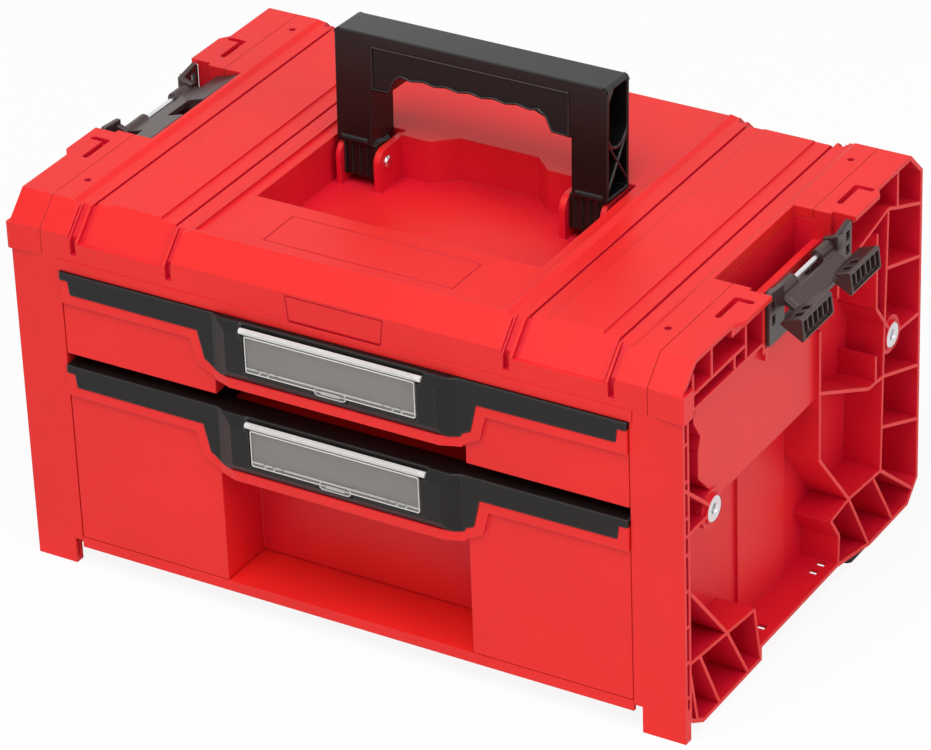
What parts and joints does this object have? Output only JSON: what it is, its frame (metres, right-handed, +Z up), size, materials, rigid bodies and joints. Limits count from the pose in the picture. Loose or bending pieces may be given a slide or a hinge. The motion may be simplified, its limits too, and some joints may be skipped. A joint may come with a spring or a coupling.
{
  "type": "portable tool box with drawers",
  "caption": "Moulded portable tool box with drawers behind a black grip strip, folding carry handle, hinged label covers, side stacking clips and an open ribbed frame at each end.",
  "frame": {"origin": "on the floor, under the centre of the whole box with its swung-out right clip", "axes": "+X across the box to the right as seen from the drawer fronts, +Y from the drawer fronts to the back, +Z up"},
  "size_m": [0.4776, 0.311, 0.3177],
  "materials": {
    "case_red": "fine satin moulded polypropylene",
    "trim_black": "satin moulded charcoal",
    "handle_black": "satin moulded black",
    "clip_brown": "satin moulded dark brown",
    "clear_cover": "clear moulded",
    "card": "matt card",
    "steel": "bright zinc",
    "rubber": "matt"
  },
  "bodies": {
    "case": {"base_floor": "case_red", "left_side_frame": "case_red", "right_side_frame": "case_red", "back_panel": "case_red", "top_cover": "case_red", "handle_pins": "steel", "left_clip_bracket": "clip_brown", "right_clip_bracket": "clip_brown", "clip_pins": "steel", "side_sleeves": "steel", "rubber_feet": "rubber", "upper_left_runner": "trim_black", "upper_right_runner": "trim_black", "lower_left_runner": "trim_black", "lower_right_runner": "trim_black", "runner_screws": "steel", "cover_screws": "steel"},
    "upper_drawer": {"upper_tray": "case_red", "upper_grip_trim": "trim_black", "upper_label_card": "card", "upper_dividers": "trim_black", "upper_trim_screws": "steel"},
    "lower_drawer": {"lower_tray": "case_red", "lower_grip_trim": "trim_black", "lower_label_card": "card", "lower_dividers": "trim_black", "lower_trim_screws": "steel"},
    "upper_label": {"upper_label_cover": "clear_cover"},
    "lower_label": {"lower_label_cover": "clear_cover"},
    "handle": {"carry_handle": "handle_black", "handle_grip": "handle_black"},
    "left_clip": {"left_clip_lever": "clip_brown"},
    "right_clip": {"right_clip_lever": "clip_brown"}
  },
  "joints": [
    {"name": "upper_drawer_slide", "type": "slide", "parent": "case", "child": "upper_drawer", "axis": [0, -1, 0], "range_m": [0, 0.2]},
    {"name": "lower_drawer_slide", "type": "slide", "parent": "case", "child": "lower_drawer", "axis": [0, -1, 0], "range_m": [0, 0.2]},
    {"name": "upper_label_hinge", "type": "hinge", "parent": "upper_drawer", "child": "upper_label", "pos_m": [-0.0093, -0.1536, 0.2016], "axis": [-1, 0, 0], "range_deg": [0, 95]},
    {"name": "lower_label_hinge", "type": "hinge", "parent": "lower_drawer", "child": "lower_label", "pos_m": [-0.0093, -0.1536, 0.1383], "axis": [-1, 0, 0], "range_deg": [0, 95]},
    {"name": "handle_fold", "type": "hinge", "parent": "case", "child": "handle", "pos_m": [-0.0093, 0.01425, 0.2332], "axis": [1, 0, 0], "range_deg": [0, 92.3]},
    {"name": "left_clip_hinge", "type": "hinge", "parent": "case", "child": "left_clip", "pos_m": [-0.2308, 0.00425, 0.2345], "axis": [0, -1, 0], "range_deg": [0, 213]},
    {"name": "right_clip_hinge", "type": "hinge", "parent": "case", "child": "right_clip", "pos_m": [0.2122, 0.00425, 0.2345], "axis": [0, -1, 0], "range_deg": [-20, 193]}
  ]
}
